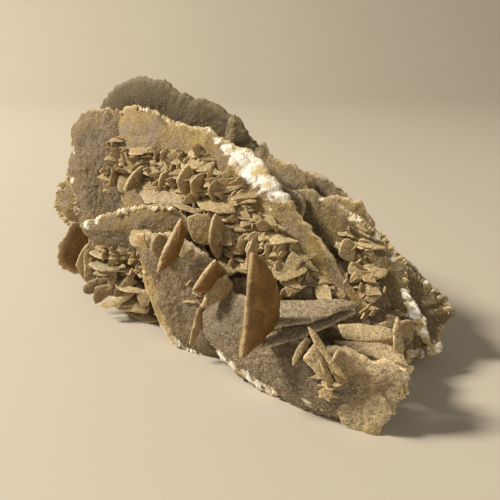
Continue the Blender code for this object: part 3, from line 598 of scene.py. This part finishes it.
# name: (place, (heading, pitch, spin), (half length, half width, thickness))
leaves = {
    "hexLow": ((-86, -28, 73), (100, 0, 32), (8, 5, 2.5)),
    "hexTop": ((-79, -28, 78), (20, -60, 5), (6, 5, 2.5)),
    "hexPale": ((-78, -28, 70), (30, 30, -49), (7, 5, 2.5)),
    "goldenRod": ((-65, -29, 77), (95, -10, 29), (12, 5, 5)),
    "brownFace": ((-78, -20, 81), (20, -10, 36), (11, 9, 4)),
    "tallA": ((-31, -26, 79), (70, 5, 81), (9, 6, 3.5)),
    "tallB": ((-23, -26, 78), (90, 5, 61), (7, 6, 3.5)),
    "tallC": ((-13, -25, 77), (90, 5, 71), (6, 5, 3)),
    "smallFlatA": ((-34, -15, 92), (0, 60, 16), (5, 5, 3)),
    "flatB": ((-15, -18, 78), (0, 62, 16), (12, 7, 3)),
    "flatC": ((-7, -20, 74), (0, 60, 1), (8, 7, 3)),
    "flatD": ((-1, -22, 69), (5, 60, -9), (7, 7, 3)),
    "flatE": ((-26, -17, 87), (0, 60, -21), (6, 6, 3)),
    "flatF": ((-34, -19, 87), (0, 50, 0), (8, 6, 3)),
    "flatG": ((-48, -20, 88), (20, 45, -10), (6, 6, 3)),
    "flatH": ((-57, -21, 84), (-10, 55, -12), (12, 7, 3)),
    "notchA": ((-46, -25, 77), (85, 0, 37), (7, 6, 3)),
    "uprightThin": ((-3, -35, 58), (90, 0, -87), (12, 6, 3)),
    "slantRib": ((-7, -31, 59), (0, 50, -22), (14, 6, 2.5)),
    "pairA": ((-14, -39, 47), (20, 20, -32), (7, 6, 3)),
    "lipLeaf": ((3, -34, 44), (0, 60, 14), (8, 8, 3)),
    "needle": ((2, -50, 36), (20, 10, -48), (8, 3, 3)),
    "tipRidge": ((17, -33, 54), (60, 0, 85), (7, 3, 2.5)),
    "nestA": ((5, -30, 55), (0, 45, 18), (5, 6, 3)),
    "nestB": ((8, -24, 60), (0, 60, 4), (6, 6, 3)),
    "nestD": ((14, -29, 54), (85, 10, -90), (5, 5, 3)),
    "nestE": ((19, -24, 58), (0, 60, 7), (4, 6, 3)),
    "nestF": ((23, -25, 55), (80, 10, 53), (7, 5, 3)),
    "nestG": ((28, -24, 54), (85, 5, 86), (5, 5, 3)),
    "shelfA": ((27, -29, 48), (5, 62, 7), (8, 8, 3)),
    "shelfB": ((33, -27, 48), (0, 66, 13), (10, 8, 2.5)),
    "shelfC": ((34, -25, 44), (0, 66, 23), (7, 8, 2.5)),
    "squareTip": ((36, -26, 52), (30, 30, 14), (4, 5, 3)),
    "obliqueLeaf": ((51, -24, 40), (-10, 40, -17), (7, 4, 2.5)),
    "endLeafA": ((84, -8, 22), (70, 20, 30), (9, 7, 4)),
    "endLeafB": ((88, -20, 16), (110, 10, -20), (15, 12, 5)),
    "endLeafC": ((80, -26, 24), (60, 30, 50), (12, 10, 4)),
    "endLeafD": ((82, 2, 12), (120, 0, 10), (13, 11, 5)),
    "fanCrystal": ((91, -51, 2), (10, 10, 20), (5, 6, 6)),
    "wingLeaf": ((64, 4, 44), (0, 65, -2), (5, 6, 3)),
    "wingLeafB": ((56, -1, 41), (60, 10, -71), (8, 6, 3)),
    "wingLeafC": ((49, 2, 52), (60, 20, -78), (6, 6, 3)),
    "towerChip": ((-70, 16, 110), (85, 5, 28), (6, 4, 3)),
    "petalI": ((-58, -45, 12), (0, 75, 8), (11, 9, 3)),
    "petalK": ((-89, -52, 26), (60, 0, 86), (12, 6, 3)),
    "boneA": ((-55, -50, 46), (30, 20, -20), (4, 6, 4)),
    "boneB": ((-61, -51, 38), (60, 10, -59), (4, 6, 4)),
    "boneD": ((-39, -52, 55), (0, 50, -8), (8, 7, 4)),
    "shelfLip": ((-26, -49, 55), (0, 40, 0), (8, 6, 4)),
    "finPale": ((-20, -57, 55), (70, 0, -84), (7, 5, 2.5)),
}
leafFinish = {"points": 32, "rowEvery": 4, "ragged": 0.22, "relief": (0.2, 0.12, 0.08), "rimZone": 1.6,
              "slope": ((0, 0), (0.1, 0.35), (0.5, 0.62), (1.4, 0.85), (2.8, 1)), "thinner": 0.72}
# how each leaf differs by chance, and so do the few blades without a paint of their own
leafChances = {"point": (-0.2, 0.35), "bow": (-0.6, 0.6), "tone": (-1, 1), "honey": (0, 0.4)}
plainBlade = {"tone": (-1, 1), "honey": (0, 0.5)}
leafPoint = 1.3                  # between a diamond, 1, and an ellipse, 2


def leafOutline(length, width, point, count):
    # from a diamond (point 1) to an ellipse (point 2), its long way along X
    rim = []
    for i in range(count):
        angle = i / count * math.tau
        c = math.cos(angle)
        s = math.sin(angle)
        far = (abs(c) ** point + abs(s) ** point) ** (-1 / point)
        rim.append(Vector((c * far * length, s * far * width)))
    return rim


goldenBlades = ("spear", "goldenTriangle", "goldenBlade", "obliqueThin")
# blades with a finish of their own: the fan's smooth lobes, and rounder golden blades
fanLobe = {"rimZone": 40, "relief": (0.5, 0.1, 0.05)}
rounded = {"slope": ((0, 0), (0.15, 0.15), (1, 0.34), (3, 0.6), (6, 0.85), (9, 1)), "thinner": 1.3}
finishes = {"lobeLow": fanLobe, "lobeMiddle": fanLobe, "lobeTop": fanLobe, "spear": rounded,
            "goldenTriangle": rounded, "goldenBlade": rounded}


def growBlades(name, chosen, leafRows, material):
    rng = random.Random(5)
    bm = newCrystals()
    for part in chosen:
        place, aim, thick, corners = blades[part]
        plain = (rng.uniform(*plainBlade["tone"]), rng.uniform(*plainBlade["honey"]))
        tone, honey = bladePaints.get(part, plain)
        rim = straightOutline(corners, bladeFinish["density"])
        finish = {**bladeFinish, **finishes.get(part, {})}
        addLens(bm, (place, aim, thick * finish["thinner"], 0), rim, finish, (tone, honey, 0))
    for place, aim, (length, width, thick) in leafRows:
        point = leafPoint + rng.uniform(*leafChances["point"])
        rim = leafOutline(length, width, point, leafFinish["points"])
        crystal = (place, aim, thick * leafFinish["thinner"], rng.uniform(*leafChances["bow"]))
        paint = (rng.uniform(*leafChances["tone"]), rng.uniform(*leafChances["honey"]), 0)
        addLens(bm, crystal, rim, leafFinish, paint)
    return newPiece(name, meshOf(name, bm, crisp=True), material)


sandyBlades = [part for part in blades if part not in goldenBlades]
growBlades("blades_and_leaves", sandyBlades, leaves.values(), leafGypsum)
growBlades("golden_blades", goldenBlades, [], goldenGypsum)

# rows of crystals along a line on a plate, each pointing away from the hub.
# name: (plate, line in its plane, hub, how many, (turned, tipped), half lengths, width and thickness as
# shares of it, lift, (tone, honey, white))
rows = {
    "wingScallops": ("rightWing", [(31, -3), (36, -9), (41, -16), (45, -23)], (0, 0),
        12, (0, 0), (3, 5), 0.5, 0.4, -3, (1, 0.3, 0.5)),
    "wingRidge": ("rightWing", [(37, -32), (44, -30), (51, -26)], (40, -60),
        10, (10, 10), (2, 4), 0.6, 0.6, -3, (0.6, 0.2, 0.25)),
    "wingRim": ("rightWing", [(-4, 31), (8, 26), (17, 21), (29, 11), (32, -2)], (0, 0),
        34, (0, 0), (1, 2.2), 0.6, 0.4, -4.5, (0.8, 0.6, 0.1)),
    "footKnobs": ("leftFoot", [(-12, 26), (-7, 12), (-4, 0), (-1, -11), (6, -19)], (60, 60),
        16, (-20, 0), (1.5, 3.2), 0.7, 0.6, -2.5, (1.8, 0.4, 0.05)),
    "footRimLow": ("leftFoot", [(2, -15), (7, -22), (14, -28), (24, -30)], (20, 20),
        12, (-20, 0), (2, 3.5), 0.6, 0.5, -3, (1, 0.3, 0.3)),
    "footTop": ("leftFoot", [(-4, 27), (8, 26), (20, 22)], (10, -10),
        6, (30, 20), (2, 5), 0.5, 0.3, 0.5, (0.6, 0.1, 0)),
    "shelfRim": ("shelf", [(-15, 2), (-1, 10), (13, 16), (26, 19), (42, 21)], (10, -20),
        30, (0, 30), (1, 2.2), 0.6, 0.5, -3, (0.8, 0.3, 0.2)),
    "fanRim": ("fanFoot", [(-6, -20), (3, -20), (10, -13), (15, -2), (15, 8)], (-14, 18),
        22, (0, 0), (1.5, 3.5), 0.6, 0.3, -3, (2.4, 0, 0.08)),
    "footCrust": ("frontFoot", [(9, -18), (23, -16), (32, -15)], (20, 0),
        14, (0, 0), (1.2, 2.6), 0.6, 0.5, -2.5, (-0.8, 0, 0)),
    "endRim": ("rightEnd", [(-8, 19), (5, 11), (13, 3), (11, -3), (10, -13), (4, -25)], (0, 0),
        26, (0, 0), (1.4, 2.8), 0.5, 0.4, -4, (0.6, 0.3, 0.12)),
    "crestTop": ("crest", [(-74, 54), (-60, 52), (-48, 47), (-22, 44)], (-50, 0),
        30, (0, 0), (1, 2.4), 0.6, 0.5, -4, (0.8, 0.6, 0.2)),
    "farRim": ("farLeft", [(-7, 18), (-14, 9), (-18, -1), (-18, -9), (-12, -15)], (10, 0),
        18, (0, 0), (2, 3.5), 0.6, 0.15, -2.5, (1.6, 0.4, 0)),
    "leafRim": ("leftLeaf", [(-31, -18), (-31, 2), (-30, 20), (-25, 34), (-14, 42), (4, 44)], (0, 0),
        34, (0, 0), (1.2, 2.8), 0.6, 0.4, -4, (0.6, 0.6, 0.1)),
}
# how a crystal of a row differs by chance
rowChances = {"lift": (-0.8, 0.8), "turn": (-12, 12), "tip": (-8, 8), "point": (1.2, 1.9),
              "bow": (-0.3, 0.3), "tone": (-0.5, 0.5)}
rowPoints = 20                   # points around the rim of one crystal


def growRows():
    rng = random.Random(8)
    bm = newCrystals()
    hosts = {**frontPlates, **rearPlates}
    chance = rowChances
    for host, line, hub, count, (turned, tipped), lengths, width, thick, lift, paint in rows.values():
        place, (heading, pitch), hostThick = hosts[host][:3]
        turn = attitude(heading, pitch)
        thereAndBack = [Vector(point) for point in line + line[-2:0:-1]]
        for point in evenPoints(thereAndBack, count=2 * count - 2)[:count]:
            high = hostThick / 2 + lift + rng.uniform(*chance["lift"])
            at = Vector(place) + turn @ Vector((point.x, point.y, high))
            spin = math.degrees(math.atan2(point.y - hub[1], point.x - hub[0]))
            aim = (heading + turned + rng.uniform(*chance["turn"]),
                   pitch + tipped + rng.uniform(*chance["tip"]), spin + rng.uniform(*chance["turn"]))
            length = rng.uniform(*lengths)
            rim = leafOutline(length, length * width, rng.uniform(*chance["point"]), rowPoints)
            crystal = (at, aim, length * thick, rng.uniform(*chance["bow"]))
            tone = paint[0] + rng.uniform(*chance["tone"])
            addLens(bm, crystal, rim, leafFinish, (tone, *paint[1:]))
    return newPiece("rim_crystals", meshOf("rim_crystals", bm, crisp=True), leafGypsum)


growRows()

# the grown-together middle: (place, aim, half sizes along, up and through), each laid a little under
# its bumps
masses = [
    ((-60, 6, 40), (6, 0, 0), (56, 27, 32)),
    ((15, 6, 28), (-4, 0, 0), (60, 25, 25)),
    ((60, -4, 18), (-12, 0, 0), (30, 15, 16)),
    ((-40, 20, 20), (0, 0, 0), (60, 21, 28)),
    ((-92, -8, 30), (10, 0, 0), (26, 22, 24)),
    ((-18, -24, 56), (8, 22, -24), (50, 20, 9)),
    ((24, -20, 42), (8, 22, -20), (34, 14, 9)),
    ((-58, -33, 36), (12, 0, 0), (28, 12, 16)),
    ((54, -30, 16), (6, 0, 0), (32, 10, 12)),
    ((-68, -42, 19), (12, 0, 0), (20, 11, 12)),
]
middleFinish = {"under": 2, "bumps": ((8, 1.8, 0), (3.5, 1.2, 4)), "subdivisions": 5}


def growMiddle():
    bm = newCrystals()
    for place, aim, halfSizes in masses:
        turn = attitude(*aim)
        made = bmesh.ops.create_icosphere(bm, subdivisions=middleFinish["subdivisions"], radius=1)
        for vert in made["verts"]:
            inside = Vector([c * (half - middleFinish["under"]) for c, half in zip(vert.co, halfSizes)])
            spot = turn @ inside + Vector(place)
            outward = (spot - Vector(place)).normalized()
            vert.co = spot + outward * bumpsAt(spot, middleFinish["bumps"])
    return newPiece("grown_middle", meshOf("grown_middle", bm), plateGypsum)


middlePiece = growMiddle()

# where small crystals crowd: (host plate, centre, half sizes, tilt, how many, half lengths, lift)
crowds = [
    ("crest", (-78, 27), (8, 9), 0, 12, (2, 5), 1.5),
    ("crest", (-80, 12), (5, 12), 0, 12, (2, 5), 2),
    ("crest", (-48, 19), (15, 13), 0, 60, (2.5, 8), 3.5),
    ("crest", (-24, 20), (16, 13), 0, 70, (2.5, 8), 3.5),
    ("crest", (0, 6), (14, 16), 0, 70, (3, 8.5), 4),
    ("crest", (-14, -8), (15, 12), 0, 44, (3, 9), 4),
    ("crest", (20, -9), (14, 12), 0, 54, (3, 8), 4),
    ("crest", (38, -16), (12, 7), -20, 30, (2.5, 7), 3),
    ("crest", (54, -22), (12, 5), -30, 20, (2, 5), 1.5),
    ("ledge", (0, 24), (30, 13), -18, 60, (3, 8), 0),
    ("ledge", (32, 12), (22, 12), -18, 50, (3, 8), 0),
    ("rightWing", (6, 14), (9, 12), -30, 24, (2.5, 6), 1),
    ("rightWing", (11, -3), (6, 11), -20, 20, (2.5, 5.5), 1.5),
    ("rightWing", (22, -17), (14, 6), 0, 30, (2, 5), 0.5),
    ("wingHollow", (-3, 0), (13, 12), 0, 44, (2.5, 6.5), 1),
    ("ledge", (50, -5), (11, 7), -20, 22, (3, 6.5), 0),
    ("shelf", (22, -12), (8, 9), 0, 24, (1.5, 4), 2),
    ("crest", (62, -29), (9, 5), -30, 16, (2.5, 6), 0.5),
    ("shelf", (5, -12), (18, 8), 0, 20, (2, 5.5), 1.5),
    ("shelf", (-4, -26), (16, 12), 0, 18, (2, 5.5), -1),
    ("leftFoot", (26, 6), (5, 12), 0, 14, (2.5, 6), 0),
    ("frontFoot", (34, -3), (4, 9), 0, 9, (3, 6), -0.5),
    ("backTall", (4, -6), (44, 28), 0, 90, (4, 11), 0.5),
    ("backCrest", (2, -4), (38, 26), 0, 80, (4, 11), 0.5),
    ("backEnd", (-4, -8), (20, 13), 0, 40, (3, 7), 0),
    ("backLeft", (-4, -6), (24, 22), 0, 45, (4, 9), 0.5),
]
kinds = [                                     # (turned, tipped, width as a share of the length)
    (0, 66, (0.5, 0.85)),                     # lying
    (84, 4, (0.35, 0.7)),                     # standing edge-on
    (28, 22, (0.4, 0.75)),                    # leaning
]
# five small crystals to copy: (point, how three-cornered, how much of the lower side is left)
seedLeaves = [
    (1.0, 0.0, 1.0),
    (1.1, 0.3, 0.5),
    (1.0, -0.25, 0.8),
    (1.3, 0.1, 0.35),
    (0.95, 0.2, 1.0),
]
# one of them: points around it, and for each row out to the rim (width, height, rim's look)
seedShape = {"around": 14, "rows": ((1, 0, 1), (0.93, 0.62, 0.7), (0.62, 0.9, 0.1), (0, 1, 0)), "bow": 0.9}
# how a small crystal differs by chance; most are small, and "mostlySmall" says how strongly
crowdChances = {"jitter": (-2, 2), "turn": (-20, 20), "tip": (-12, 12), "spin": (-30, 30),
                "lift": (0.1, 1.4), "skew": (-0.3, 0.3), "thick": (0.38, 0.7), "tone": (-1, 1),
                "honey": (0, 0.5), "mostlySmall": 1.7}
# places for a crowd that no single plate carries: (place, (heading, pitch), thickness)
openPlaces = {"ledge": ((-20, -34, 44), (8, 22), 8), "wingHollow": ((62, -9, 36), (10, 35), 2)}


def seedLeaf(point, corners, lower):
    bm = newCrystals()
    around = seedShape["around"]
    half = len(seedShape["rows"]) - 1
    rim = leafOutline(1, 1, point, around)
    rimLayer = bm.verts.layers.float["rim"]
    addBall(bm, around, 2 * half)
    for vert in bm.verts:
        row = half - round(math.acos(max(-1, min(1, vert.co.z))) / math.pi * 2 * half)
        i = round(math.atan2(vert.co.y, vert.co.x) / math.tau * around) % around
        wide, high, atRim = seedShape["rows"][abs(row)]
        flat = rim[i] * wide * (1 + corners * math.cos(3 * math.tau * i / around))
        height = high * (1 if row > 0 else -1) + seedShape["bow"] * (0.5 - flat.x * flat.x)
        vert.co = (flat.x, max(flat.y, -lower), height)
        vert[rimLayer] = atRim
    return bm


def growCrowds():
    rng = random.Random(11)
    chance = crowdChances
    hosts = {**frontPlates, **rearPlates, **openPlaces}
    placings = []
    for host, centre, halfSizes, tilt, count, lengths, lift in crowds:
        place, (heading, pitch), thick = hosts[host][:3]
        turn = attitude(heading, pitch)
        lean = Matrix.Rotation(math.radians(tilt), 2)
        for i in range(count):
            angle = i * 2.4                        # the golden angle spreads the crystals evenly
            far = math.sqrt((i + 0.5) / count)
            x = math.cos(angle) * far * halfSizes[0]
            y = math.sin(angle) * far * halfSizes[1]
            jitter = Vector((rng.uniform(*chance["jitter"]), rng.uniform(*chance["jitter"])))
            spot = lean @ Vector((x, y)) + (Vector(centre) + jitter)
            length = lengths[0] + (lengths[1] - lengths[0]) * rng.random() ** chance["mostlySmall"]
            turned, tipped, shares = kinds[rng.choice((0, 0, 0, 1, 1, 2))]
            aim = (heading + turned + rng.uniform(*chance["turn"]), tipped + rng.uniform(*chance["tip"]),
                   rng.uniform(*chance["spin"]))
            high = thick / 2 + lift * rng.uniform(*chance["lift"])
            at = Vector(place) + turn @ Vector((spot.x, spot.y, high))
            width = length * rng.uniform(*shares)
            skew = rng.uniform(*chance["skew"]) * width
            shape = Matrix(((length, skew, 0), (0, width, 0), (0, 0, rng.uniform(*chance["thick"]))))
            paint = (rng.uniform(*chance["tone"]), rng.uniform(*chance["honey"]), 0)
            placings.append((attitude(*aim) @ shape, at, paint))
    mesh = joinCopies("small_leaves", [seedLeaf(*seed) for seed in seedLeaves], placings)
    mesh.shade_smooth()
    mesh.set_sharp_from_angle(angle=math.radians(sharpAngle))
    return newPiece("small_leaves", mesh, leafGypsum)


growCrowds()

# sand grains: half lengths in grid steps, width and thickness as shares of it, and how much likelier a
# grain is at a rim than on a face
grains = {"howMany": 20000, "sizes": (0.28, 0.6), "width": (0.6, 1), "thick": 0.7, "onFace": 0.35,
          "atRim": 1, "tone": (-1.5, 1.5), "seed": 21}


def sprinkle(name, hosts, grains):
    # sand grains and sugary crystals, sunk to half their depth in the plates' surfaces
    rng = np.random.default_rng(grains["seed"])
    picks = []
    for host in hosts:
        mesh = host.data
        count = len(mesh.polygons)
        areas = np.zeros(count)
        mesh.polygons.foreach_get("area", areas)
        rimValues = np.zeros(len(mesh.vertices))
        mesh.attributes["rim"].data.foreach_get("value", rimValues)
        firsts = np.zeros(count, dtype=np.int32)
        mesh.polygons.foreach_get("loop_start", firsts)
        corners = np.zeros(len(mesh.loops), dtype=np.int32)
        mesh.loops.foreach_get("vertex_index", corners)
        spots = np.zeros(len(mesh.vertices) * 3)
        mesh.vertices.foreach_get("co", spots)
        spots = spots.reshape(-1, 3)
        tri = corners[firsts[:, None] + np.array([0, 1, 2])]
        weight = areas * (grains["onFace"] + grains["atRim"] * rimValues[tri[:, 0]])
        picks.append((weight, spots[tri]))
    weights = np.concatenate([w for w, _ in picks])
    triangles = np.concatenate([t for _, t in picks])
    chosen = rng.choice(len(weights), grains["howMany"], p=weights / weights.sum())
    mix = rng.dirichlet((1, 1, 1), len(chosen))
    places = np.einsum("nk,nkj->nj", mix, triangles[chosen]) / step - np.array(shift)
    placings = []
    for place in places:
        size = rng.uniform(*grains["sizes"])
        turn = attitude(*rng.uniform(0, 360, 3))
        shape = Matrix.Diagonal((size, size * rng.uniform(*grains["width"]), size * grains["thick"]))
        placings.append((turn @ shape, place, (rng.uniform(*grains["tone"]), 0, 0)))
    seed = newCrystals()
    addBall(seed, 4, 2)
    return newPiece(name, joinCopies(name, [seed], placings), leafGypsum)


sprinkle("sand_grains", (frontPiece, rearPiece, middlePiece), grains)

# the room, in metres, degrees and watts; lights are (direction, distance, size, power, colour)
studio = {
    "turn": 38,                                    # heading of the camera; floor and lights turn with it
    "camera": {"eye": (0.1562, -0.1817, 0.1255), "tilt": 68.1, "lens": 38.88, "sensor": 36},
    "floor": {"halfSize": 4, "rows": 120, "colour": "#b6ad9c", "roughness": 0.7,
              "curveFrom": 0.9, "curve": 0.7},     # where it curves up behind, and with what radius
    "lights": {"window": ((-0.82, 0.05, 0.72), 2.0, 0.45, 70, "#fff8ec"),
               "fill": ((0.4, -0.9, 0.5), 1.2, 0.8, 3.2, "#fff8ee")},
    "lightsAimAt": (0, 0, 0.05),
    "air": {"colour": "#ebe4d6", "strength": 0.24},
}
studioTurn = Matrix.Rotation(math.radians(studio["turn"]), 3, "Z")


def addFloor(look):
    mesh = bpy.data.meshes.new("floor")
    bm = bmesh.new()
    bmesh.ops.create_grid(bm, x_segments=1, y_segments=look["rows"], size=look["halfSize"])
    for vert in bm.verts:
        past = max(0, vert.co.y - look["curveFrom"])
        angle = min(past / look["curve"], math.pi / 2)
        if past:
            vert.co.y = look["curveFrom"] + look["curve"] * math.sin(angle)
            vert.co.z = look["curve"] * (1 - math.cos(angle) - angle) + past
        vert.co = studioTurn @ vert.co
    for face in bm.faces:
        face.smooth = True
    bm.to_mesh(mesh)
    bm.free()
    floor = bpy.data.objects.new("floor", mesh)
    bpy.context.scene.collection.objects.link(floor)
    material = bpy.data.materials.new("pale studio floor")
    material.use_nodes = True
    shader = material.node_tree.nodes["Principled BSDF"]
    shader.inputs["Base Color"].default_value = linear(look["colour"])
    shader.inputs["Roughness"].default_value = look["roughness"]
    mesh.materials.append(material)


def addCamera(view):
    camera = bpy.data.cameras.new("camera")
    camera.sensor_width = view["sensor"]
    camera.lens = view["lens"]
    viewer = bpy.data.objects.new("camera", camera)
    bpy.context.scene.collection.objects.link(viewer)
    viewer.location = view["eye"]
    viewer.rotation_euler = (math.radians(view["tilt"]), 0, math.radians(studio["turn"]))
    bpy.context.scene.camera = viewer


def addLight(name, direction, distance, size, power, colour):
    light = bpy.data.lights.new(name, "AREA")
    light.shape = "DISK"
    light.size = size
    light.energy = power
    light.color = linear(colour)[:3]
    lamp = bpy.data.objects.new(name, light)
    bpy.context.scene.collection.objects.link(lamp)
    towards = studioTurn @ Vector(direction).normalized()
    lamp.location = towards * distance + Vector(studio["lightsAimAt"])
    lamp.rotation_euler = towards.to_track_quat("Z", "Y").to_euler()


def addAir(look):
    world = bpy.data.worlds.new("soft studio")
    bpy.context.scene.world = world
    world.use_nodes = True
    background = world.node_tree.nodes["Background"]
    background.inputs["Color"].default_value = linear(look["colour"])
    background.inputs["Strength"].default_value = look["strength"]


addFloor(studio["floor"])
addCamera(studio["camera"])
for name, light in studio["lights"].items():
    addLight(name, *light)
addAir(studio["air"])
bpy.context.scene.view_settings.view_transform = "Standard"
print("floor, camera and lights")
